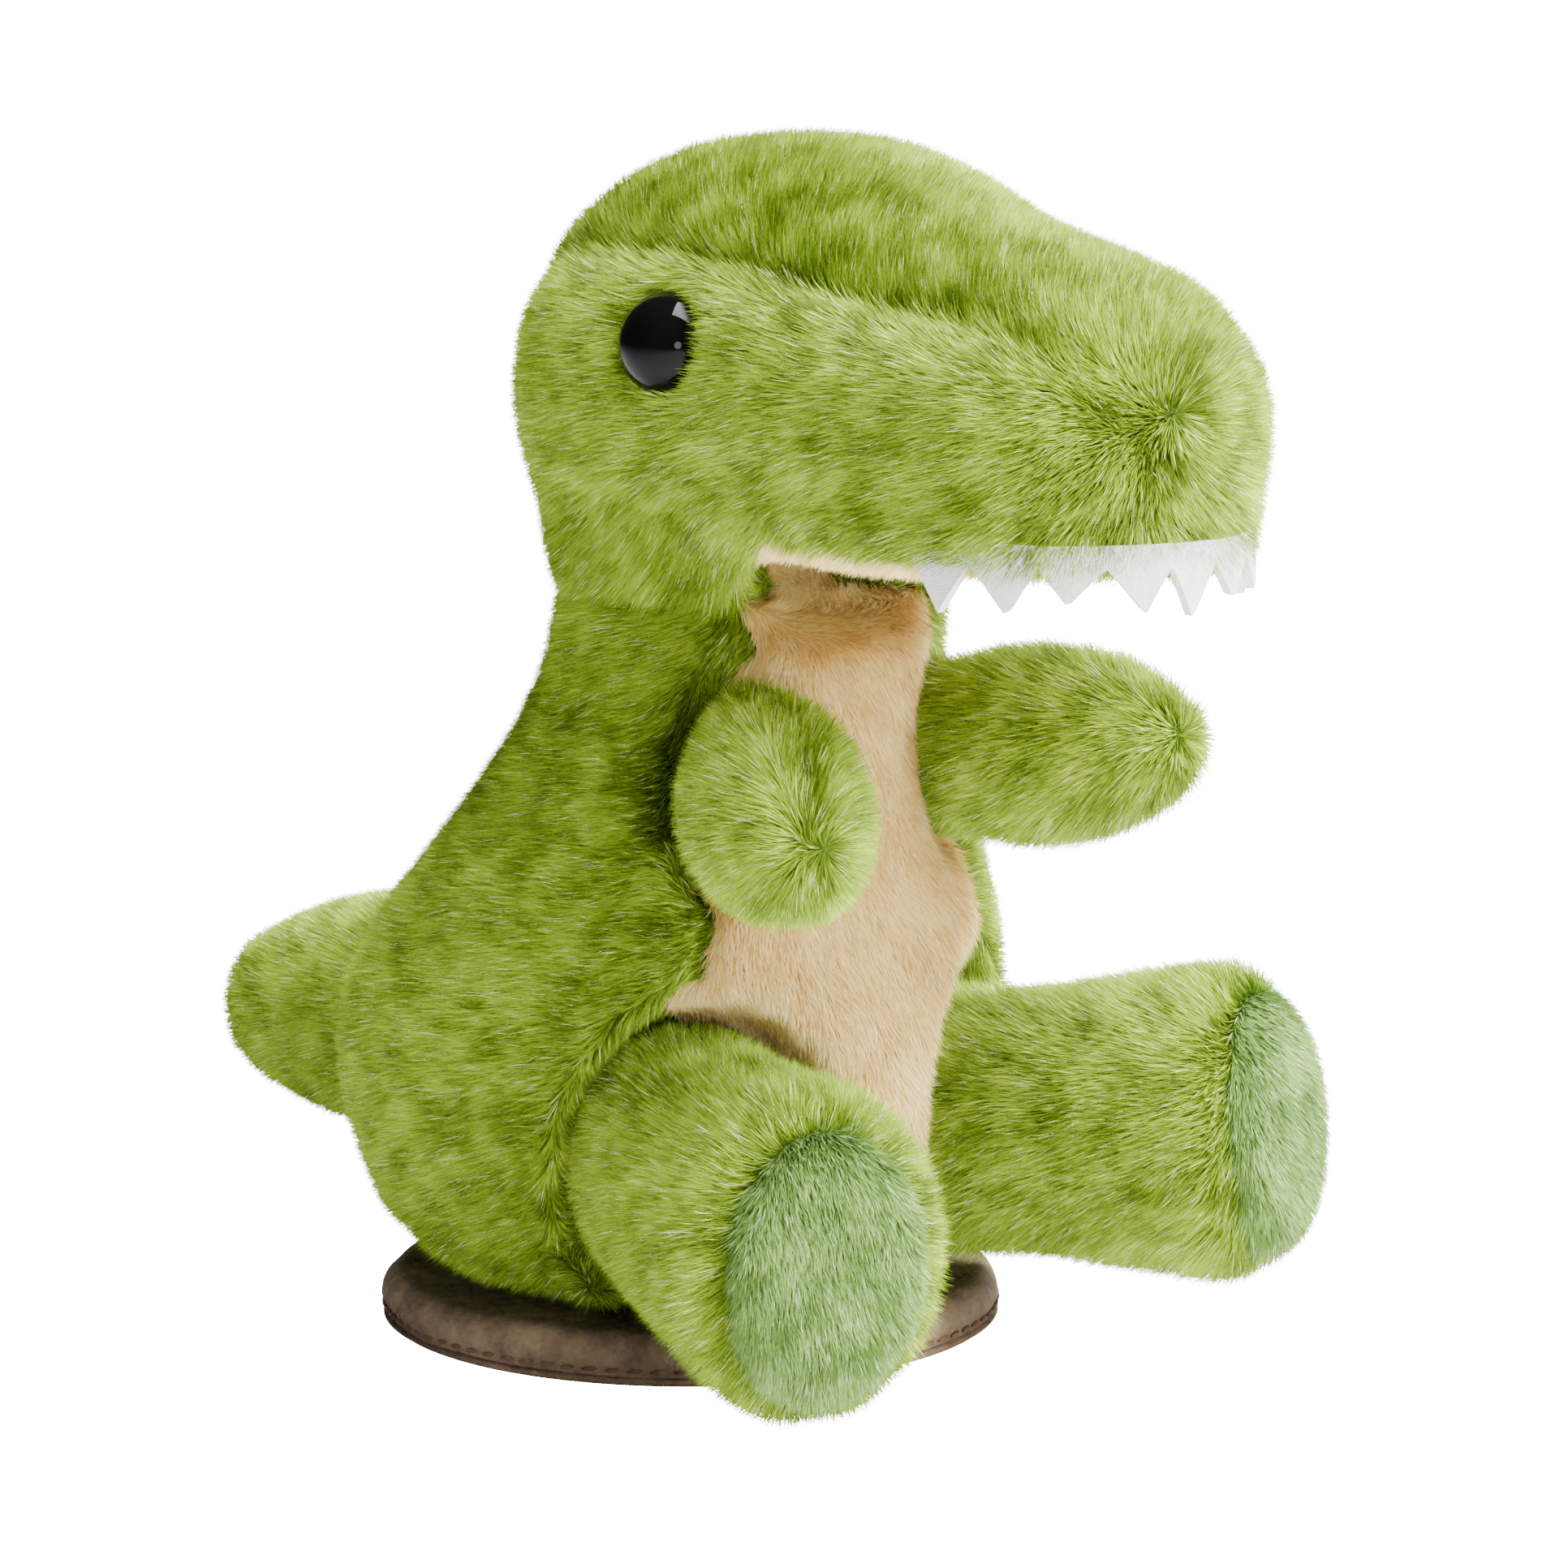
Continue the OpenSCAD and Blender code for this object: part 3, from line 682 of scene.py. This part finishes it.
# Each skin is set in under its pile and keeps what the pile needs to know
for body, form in forms.items():
    mesh = form["obj"].data
    co, no = points(mesh), normals(mesh)
    names = list(form["panels"])
    table = nodeDistances(co, names)
    order = np.argsort(table, axis=0)
    if body == "trunk":
        order = claimThroat(co, order, names)
    gap = np.take_along_axis(table, order[1:2], 0)[0] - np.take_along_axis(table, order[:1], 0)[0]
    free = relax(mesh, openness(co, no, make["rays"], make["reach"]), 2)
    free = ramp(free, 0.06, 0.36)
    nap = np.zeros_like(co)
    length = np.zeros(len(co))
    rise = np.zeros(len(co))
    for k, name in enumerate(names):
        kind, way = form["panels"][name]
        values = plush[kind]
        mine = order[0] == k
        nap[mine] = way(co[mine], no[mine])
        length[mine] = values["length"]
        rise[mine] = values["length"] * math.cos(math.radians(values["lean"]))
    nap = unit(nap) + layeredNoise(co, wander)
    nap -= no * (nap * no).sum(axis=1, keepdims=True)
    nap = unit(relax(mesh, nap, 1))
    clump = layeredNoise(co, clumps)[:, 0]
    seam = np.exp(-((gap / 0.0016) ** 2)) * (gap > -0.0001)
    inset = relax(mesh, rise, 3) * free * 0.9 + make["seam"] * seam * free
    if body == "trunk":
        front = ramp(co[:, 1], -0.03, -0.04) * (co[:, 2] > neckHeight)
        inset *= 1 - front * ramp(co[:, 2], lipHeight + 0.006, lipHeight + 0.001)
        lip = ramp(co[:, 2], lipHeight + 0.004, lipHeight) * (co[:, 2] > neckHeight + 0.004)
        length *= 1 + 0.25 * lip * (co[:, 1] < -0.045) * (np.abs(no[:, 2]) < 0.8)
    setPoints(mesh, co - no * inset[:, None])
    storeValues(mesh, "nap", nap, "FLOAT_VECTOR")
    storeValues(mesh, "fibre", length * (0.35 + 0.65 * free))
    storeValues(mesh, "crowd", np.clip(free * 3, 0, 1))
    # The stored mottle is lowered near seams: painted shade in the seam creases, on top of the random clump
    # mottle
    storeValues(mesh, "clump", clump - 0.35 * seam)
    storeValues(mesh, "panel", order[0].astype(float))
    form["names"] = names
print("skins ready")


# The part of a form that one panel covers; a face shared evenly goes to the first panel
def panelSkin(form, index, name):
    mesh = form["obj"].data.copy()
    bm = bmesh.new()
    bm.from_mesh(mesh)
    layer = bm.verts.layers.float["panel"]
    other = []
    for face in bm.faces:
        marks = [v[layer] for v in face.verts]
        own = sum(abs(mark - index) < 0.5 for mark in marks) * 2
        if own < len(marks) or own == len(marks) and min(marks) < index - 0.5:
            other.append(face)
    bmesh.ops.delete(bm, geom=other, context="FACES")
    bm.to_mesh(mesh)
    bm.free()
    for polygon in mesh.polygons:
        polygon.use_smooth = True
    return link(bpy.data.objects.new(name, mesh))


# One fibre: a thin triangle a metre long, scaled where it is planted
def makeBlade():
    bm = bmesh.new()
    corners = [bm.verts.new(p) for p in ((-0.5, 0, 0), (0.5, 0, 0), (0, 0, 1))]
    bm.faces.new(corners)
    mesh = bpy.data.meshes.new("blade")
    bm.to_mesh(mesh)
    bm.free()
    storeValues(mesh, "along", np.array((0.0, 0.0, 1.0)))
    return link(bpy.data.objects.new("blade", mesh))


# How fibres differ from one another, as shares of their plush's values
fibres = {
    "most": 180000,
    "lean": (0.78, 1.16),
    "width": (0.7, 1.3),
    "length": (0.62, 1.12),
    "jitter": 0.2,
    "twist": 3.0,
    "clump": 0.42,
    "shade": 0.78,
    # share of fibres that carry the painted glint
    "sparkling": 0.035,
}


# Geometry nodes that plant fibres over a skin
def plantingTree(blade, values, density, seed):
    tree = bpy.data.node_groups.new("planting", "GeometryNodeTree")
    tree.interface.new_socket("Geometry", in_out="INPUT", socket_type="NodeSocketGeometry")
    tree.interface.new_socket("Geometry", in_out="OUTPUT", socket_type="NodeSocketGeometry")
    start = tree.nodes.new("NodeGroupInput")
    end = tree.nodes.new("NodeGroupOutput")
    wire = tree.links.new

    def named(name, kind="FLOAT"):
        node = tree.nodes.new("GeometryNodeInputNamedAttribute")
        node.data_type = kind
        node.inputs["Name"].default_value = name
        return node.outputs["Attribute"]

    def maths(operation, a, b):
        node = tree.nodes.new("ShaderNodeMath")
        node.operation = operation
        for socket, value in zip(node.inputs, (a, b)):
            if isinstance(value, (int, float)):
                socket.default_value = value
            else:
                wire(value, socket)
        return node.outputs[0]

    def chance(key, low, high):
        node = tree.nodes.new("FunctionNodeRandomValue")
        node.data_type = "FLOAT"
        for socket in node.inputs:
            if socket.name == "Min" and socket.type == "VALUE":
                socket.default_value = low
            if socket.name == "Max" and socket.type == "VALUE":
                socket.default_value = high
            if socket.name == "Seed":
                socket.default_value = seed * 10 + key
        return next(s for s in node.outputs if s.type == "VALUE" and s.enabled)

    spread = tree.nodes.new("GeometryNodeDistributePointsOnFaces")
    spread.distribute_method = "RANDOM"
    wire(start.outputs[0], spread.inputs["Mesh"])
    wire(maths("MULTIPLY", named("crowd"), density), spread.inputs["Density"])
    spread.inputs["Seed"].default_value = seed

    lean = maths("MULTIPLY", chance(1, *fibres["lean"]), math.radians(values["lean"]))
    outward = tree.nodes.new("ShaderNodeVectorMath")
    outward.operation = "SCALE"
    wire(spread.outputs["Normal"], outward.inputs[0])
    wire(maths("COSINE", lean, 0), outward.inputs["Scale"])
    sideways = tree.nodes.new("ShaderNodeVectorMath")
    sideways.operation = "SCALE"
    wire(named("nap", "FLOAT_VECTOR"), sideways.inputs[0])
    wire(maths("SINE", lean, 0), sideways.inputs["Scale"])
    jitter = tree.nodes.new("FunctionNodeRandomValue")
    jitter.data_type = "FLOAT_VECTOR"
    jitter.inputs[0].default_value = (-fibres["jitter"],) * 3
    jitter.inputs[1].default_value = (fibres["jitter"],) * 3
    jitter.inputs["Seed"].default_value = seed * 10 + 2
    along = tree.nodes.new("ShaderNodeVectorMath")
    along.operation = "ADD"
    wire(outward.outputs[0], along.inputs[0])
    wire(sideways.outputs[0], along.inputs[1])
    way = tree.nodes.new("ShaderNodeVectorMath")
    way.operation = "ADD"
    wire(along.outputs[0], way.inputs[0])
    wire(jitter.outputs[0], way.inputs[1])
    grow = tree.nodes.new("FunctionNodeAlignRotationToVector")
    grow.axis = "Z"
    wire(way.outputs[0], grow.inputs["Vector"])
    face = tree.nodes.new("FunctionNodeAlignRotationToVector")
    face.axis = "Y"
    face.pivot_axis = "Z"
    wire(grow.outputs[0], face.inputs["Rotation"])
    facing = tree.nodes.new("ShaderNodeVectorMath")
    facing.operation = "ADD"
    wobble = tree.nodes.new("ShaderNodeVectorMath")
    wobble.operation = "SCALE"
    wobble.inputs["Scale"].default_value = fibres["twist"]
    wire(jitter.outputs[0], wobble.inputs[0])
    wire(spread.outputs["Normal"], facing.inputs[0])
    wire(wobble.outputs[0], facing.inputs[1])
    wire(facing.outputs[0], face.inputs["Vector"])

    size = tree.nodes.new("ShaderNodeCombineXYZ")
    width = maths("MULTIPLY", chance(3, *fibres["width"]), values["width"])
    wire(width, size.inputs[0])
    wire(width, size.inputs[1])
    wire(maths("MULTIPLY", chance(4, *fibres["length"]), named("fibre")), size.inputs[2])

    # Random clump mottle shifts each fibre's shade, with painted shade darkening fibres near seams
    clump = maths("MULTIPLY", named("clump"), fibres["clump"])
    shade = maths("ADD", clump, chance(5, 0, fibres["shade"]))
    shade = maths("MINIMUM", maths("MAXIMUM", shade, 0.01), 0.9)
    # A few fibres at random get the top shade, which paints a glint on them
    paintedGlint = maths("GREATER_THAN", chance(6, 0, 1), 1 - fibres["sparkling"])
    shade = maths("MAXIMUM", shade, maths("MULTIPLY", paintedGlint, 0.99))
    keep = tree.nodes.new("GeometryNodeStoreNamedAttribute")
    keep.data_type = "FLOAT"
    keep.domain = "POINT"
    keep.inputs["Name"].default_value = "shade"
    wire(spread.outputs["Points"], keep.inputs["Geometry"])
    wire(shade, next(s for s in keep.inputs if s.name == "Value" and s.enabled))

    model = tree.nodes.new("GeometryNodeObjectInfo")
    model.inputs["Object"].default_value = blade
    plant = tree.nodes.new("GeometryNodeInstanceOnPoints")
    wire(keep.outputs[0], plant.inputs["Points"])
    wire(model.outputs["Geometry"], plant.inputs["Instance"])
    wire(face.outputs[0], plant.inputs["Rotation"])
    wire(size.outputs[0], plant.inputs["Scale"])
    real = tree.nodes.new("GeometryNodeRealizeInstances")
    wire(plant.outputs[0], real.inputs[0])
    wire(real.outputs[0], end.inputs[0])
    return tree


# Area of a skin, counted only where fibres grow
def areaOf(mesh):
    crowd = np.empty(len(mesh.vertices))
    mesh.attributes["crowd"].data.foreach_get("value", crowd)
    return sum(p.area * crowd[list(p.vertices)].mean() for p in mesh.polygons)


def plantPile(skin, values, name, seed):
    density = min(values["density"], fibres["most"] / max(areaOf(skin.data), 1e-9))
    mesh = skin.data.copy()
    obj = link(bpy.data.objects.new(name, mesh))
    tree = plantingTree(blade, values, density, seed)
    planting = obj.modifiers.new("planting", "NODES")
    planting.node_group = tree
    applyModifiers(obj)
    bpy.data.node_groups.remove(tree)
    mesh = obj.data
    count = len(mesh.vertices)
    shade, along = np.empty(count), np.empty(count)
    mesh.attributes["shade"].data.foreach_get("value", shade)
    mesh.attributes["along"].data.foreach_get("value", along)
    corner = np.empty(len(mesh.loops), int)
    mesh.loops.foreach_get("vertex_index", corner)
    flat = mesh.uv_layers.new(name="OFBake")
    flat.uv.foreach_set(
        "vector", np.column_stack((shade, along))[corner].astype(np.float32).ravel()
    )
    for extra in ("shade", "along"):
        mesh.attributes.remove(mesh.attributes[extra])
    mesh.materials.clear()
    mesh.materials.append(values["pile"])
    return obj


blade = makeBlade()
seed = 0
total = 0
for body, form in forms.items():
    for index, name in enumerate(form["names"]):
        seed += 1
        values = plush[form["panels"][name][0]]
        first, *rest = name.split("_")
        label = first + "".join(word.capitalize() for word in rest)
        skin = panelSkin(form, index, label)
        pile = plantPile(skin, values, label + "Pile", seed)
        total += len(pile.data.polygons)
        print(name, len(skin.data.polygons), len(pile.data.polygons))
        skin.data.materials.clear()
        skin.data.materials.append(values["backing"])
        for extra in ("nap", "fibre", "crowd", "clump", "panel"):
            skin.data.attributes.remove(skin.data.attributes[extra])
        for piece in (skin, pile):
            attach(piece, next(b for b, held in bodies.items() if name in held))
        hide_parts(name)
    removeObject(form["obj"])
removeObject(blade)
print("pile planted", total)

# Eyes
eye = {
    "place": (0.0261, -0.029, 0.1225),
    "tilt": 84,
    "turn": 12,
    "radius": 0.006,
    "height": 0.005,
    "stem": 0.009,
}
eyeBlack = plainMaterial("eyeBlack", (0.002, 0.002, 0.002), 0.05)
eyeBlack.node_tree.nodes["Principled BSDF"].inputs["Specular IOR Level"].default_value = 0.09


def lathe(name, outline, steps):
    bm = bmesh.new()
    chain = [bm.verts.new((r, 0, z)) for r, z in outline]
    geom = chain + [bm.edges.new(pair) for pair in zip(chain, chain[1:])]
    bmesh.ops.spin(
        bm, geom=geom, cent=(0, 0, 0), axis=(0, 0, 1), angle=math.tau, steps=steps, use_merge=True
    )
    bmesh.ops.remove_doubles(bm, verts=bm.verts, dist=1e-6)
    bmesh.ops.recalc_face_normals(bm, faces=bm.faces)
    mesh = bpy.data.meshes.new(name)
    bm.to_mesh(mesh)
    bm.free()
    for polygon in mesh.polygons:
        polygon.use_smooth = True
    return link(bpy.data.objects.new(name, mesh))


def makeEye(side, name, node):
    r, h = eye["radius"], eye["height"]
    ball = (r * r + h * h) / (2 * h)
    low = math.acos((ball - h) / ball) if ball > h else math.pi / 2
    outline = [(0, h)]
    for k in range(1, 15):
        a = low * k / 14
        outline.append((ball * math.sin(a), h - ball + ball * math.cos(a)))
    outline += [(r, -0.0004), (r - 0.0005, -0.0008), (0.0016, -0.0008), (0.0015, -0.002)]
    outline += [(0.0015, -eye["stem"]), (0, -eye["stem"])]
    obj = lathe(name, outline, 64)
    x, y, z = eye["place"]
    obj.data.transform(
        Matrix.Translation((side * x, y, z))
        @ Matrix.Rotation(math.radians(-side * eye["turn"]), 4, "Z")
        @ Matrix.Rotation(math.radians(side * eye["tilt"]), 4, "Y")
    )
    obj.data.materials.append(eyeBlack)
    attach(obj, "head")
    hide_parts(node)


makeEye(-1, "eyeRight", "eye_right")
makeEye(1, "eyeLeft", "eye_left")

# Felt teeth along the lip
felt = {
    "across": 0.0206,
    "deep": 0.0231,
    "middle": -0.066,
    "sweep": 176,
    "count": 9,
    "length": 0.0058,
    "rise": 0.0009,
    "notch": 0.0004,
    "root": 0.0022,
    "thick": 0.0011,
    "lopsided": 0.09,
    "uneven": 0.14,
    "wave": 0.02,
}


def makeTeeth():
    bm = bmesh.new()
    steps, rows = felt["count"] * 10, 6
    bmesh.ops.create_grid(bm, x_segments=steps, y_segments=rows, size=0.5)
    for v in bm.verts:
        s = (v.co.x + 0.5) * felt["count"]
        tooth = min(int(s), felt["count"] - 1)
        swing = 0.5 + felt["lopsided"] * math.sin(tooth * 2.7)
        t = s - tooth
        peak = t / swing if t < swing else (1 - t) / (1 - swing)
        length = felt["length"] * (0.92 + felt["uneven"] * math.sin(tooth * 1.9 + 0.6))
        low = felt["notch"] + (length - felt["notch"]) * peak ** 1.05
        down = 0.5 - v.co.y
        a = math.radians(felt["sweep"] * (s / felt["count"] - 0.5))
        drop = -felt["root"] + (low + felt["root"]) * down
        lean = 1 + felt["wave"] * math.sin(s * 2.1) * down
        v.co = (
            felt["across"] * math.sin(a) * lean,
            felt["middle"] - felt["deep"] * math.cos(a) * lean,
            lipHeight + felt["rise"] - drop,
        )
    bmesh.ops.recalc_face_normals(bm, faces=bm.faces)
    mesh = bpy.data.meshes.new("teethFelt")
    bm.to_mesh(mesh)
    bm.free()
    obj = link(bpy.data.objects.new("teethFelt", mesh))
    solid = obj.modifiers.new("thick", "SOLIDIFY")
    solid.thickness = felt["thick"]
    solid.offset = 0
    applyModifiers(obj)
    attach(obj, "head")
    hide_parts("teeth")
    return obj


teethFelt = makeTeeth()

# Suede pad: cover with a soft rounded edge, base and edge stitches
pad = {
    "radius": 0.038,
    "height": 0.006,
    "edge": 0.003,
    "cloth": 0.001,
    "stitches": 86,
    "stitchHeight": 0.0019,
    "stitchLength": 0.0019,
    "thread": 0.0003,
    "wave": 0.0004,
    "waves": ((0.014, 1.0, (2.2, 6.1, 4.4)), (0.005, 0.4, (7.2, 1.1, 3.4))),
}


def finishPad(obj, replaced):
    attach(obj, "pad")
    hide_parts(replaced)


def makePad():
    r, h, e = pad["radius"], pad["height"], pad["edge"]
    outline = [(r - 0.0012, pad["cloth"] - 0.0001), (r - 0.0005, pad["cloth"])]
    outline += [(r, pad["cloth"] + 0.0004), (r - 0.0003, 0.0018), (r, 0.0024)]
    for k in range(9):
        a = math.pi / 2 * k / 8
        outline.append((r - e + e * math.cos(a), h - e + e * math.sin(a)))
    for k in range(1, 15):
        outline.append(((r - e) * (1 - k / 14), h))
    top = lathe("padTop", outline, 160)
    co, no = points(top.data), normals(top.data)
    wave = layeredNoise(co, pad["waves"])[:, 0]
    setPoints(top.data, co + no * (wave * pad["wave"])[:, None])
    finishPad(top, "pad_top_cover")
    outline = [(0, 0), (r - 0.0006, 0), (r, 0.0004), (r - 0.0001, 0.0009), (r - 0.001, pad["cloth"])]
    outline += [(0, pad["cloth"])]
    base = lathe("padBase", outline, 160)
    finishPad(base, "pad_bottom_cover")
    bm = bmesh.new()
    for k in range(pad["stitches"]):
        turn = Matrix.Rotation(math.tau * k / pad["stitches"], 4, "Z")
        place = Matrix.Translation((r - 0.0001, 0, pad["stitchHeight"]))
        tilt = Matrix.Rotation(math.radians(8), 4, "X")
        size = Matrix.Diagonal((pad["thread"], pad["stitchLength"] / 2, pad["thread"], 1))
        bmesh.ops.create_uvsphere(
            bm, u_segments=10, v_segments=8, radius=1, matrix=turn @ place @ tilt @ size
        )
    mesh = bpy.data.meshes.new("padStitches")
    bm.to_mesh(mesh)
    bm.free()
    for polygon in mesh.polygons:
        polygon.use_smooth = True
    stitches = link(bpy.data.objects.new("padStitches", mesh))
    finishPad(stitches, "pad_thread")
    return top, base, stitches


padTop, padBase, padStitches = makePad()

# Looks of the inner pieces and the pad
foam = mottledMaterial("foam", (0.66, 0.60, 0.42), (0.80, 0.76, 0.60), 900, 0.9, 0.6)
steel = mottledMaterial("steel", (0.42, 0.43, 0.44), (0.58, 0.59, 0.60), 300, 0.35, 0.1, 1.0)
suede = mottledMaterial("suede", (0.12, 0.078, 0.042), (0.25, 0.165, 0.098), 260, 0.85, 0.5)
thread = mottledMaterial("thread", (0.10, 0.045, 0.02), (0.17, 0.09, 0.05), 900, 0.8, 0.5)
stuffing = mottledMaterial("stuffing", (0.80, 0.80, 0.78), (0.92, 0.92, 0.90), 400, 0.95, 1.0)
pouch = mottledMaterial("pouch", (0.70, 0.68, 0.60), (0.82, 0.80, 0.72), 1500, 0.9, 0.8)
beads = mottledMaterial("pellets", (0.74, 0.76, 0.76), (0.84, 0.86, 0.86), 500, 0.5, 0.1)
nylon = mottledMaterial("washer", (0.15, 0.15, 0.16), (0.22, 0.22, 0.23), 800, 0.45, 0.2)
whiteFelt = mottledMaterial("felt", (0.78, 0.78, 0.74), (0.90, 0.90, 0.88), 700, 0.9, 0.8)
teethFelt.data.materials.append(whiteFelt)
padTop.data.materials.append(suede)
padBase.data.materials.append(suede)
padStitches.data.materials.append(thread)

# Fillings stay a little inside their skins
filling = {"voxel": 0.0025, "rounds": 4, "inset": 0.0016}
for name in [n for n in nodes if "stuffing" in n]:
    part, side = name.split("_stuffing")
    obj = formOver(part + side.title() + "Filling", [name], filling["voxel"], filling["rounds"])
    setPoints(obj.data, points(obj.data) - normals(obj.data) * filling["inset"])
    for polygon in obj.data.polygons:
        polygon.use_smooth = True
    obj.data.materials.append(stuffing)
    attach(obj, next(b for b, held in bodies.items() if name in held))
    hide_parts(name)

# CAD pieces that keep their shape
kept = {
    "pad_foam": foam,
    "pad_plate": steel,
    "pellet_pouch": pouch,
    "pellets": beads,
    "magnet_pouch": pouch,
    "magnet": steel,
    "eye_washer_right": nylon,
    "eye_washer_left": nylon,
}
for name, material in kept.items():
    nodes[name].data.materials.clear()
    nodes[name].data.materials.append(material)
print("inner pieces ready")
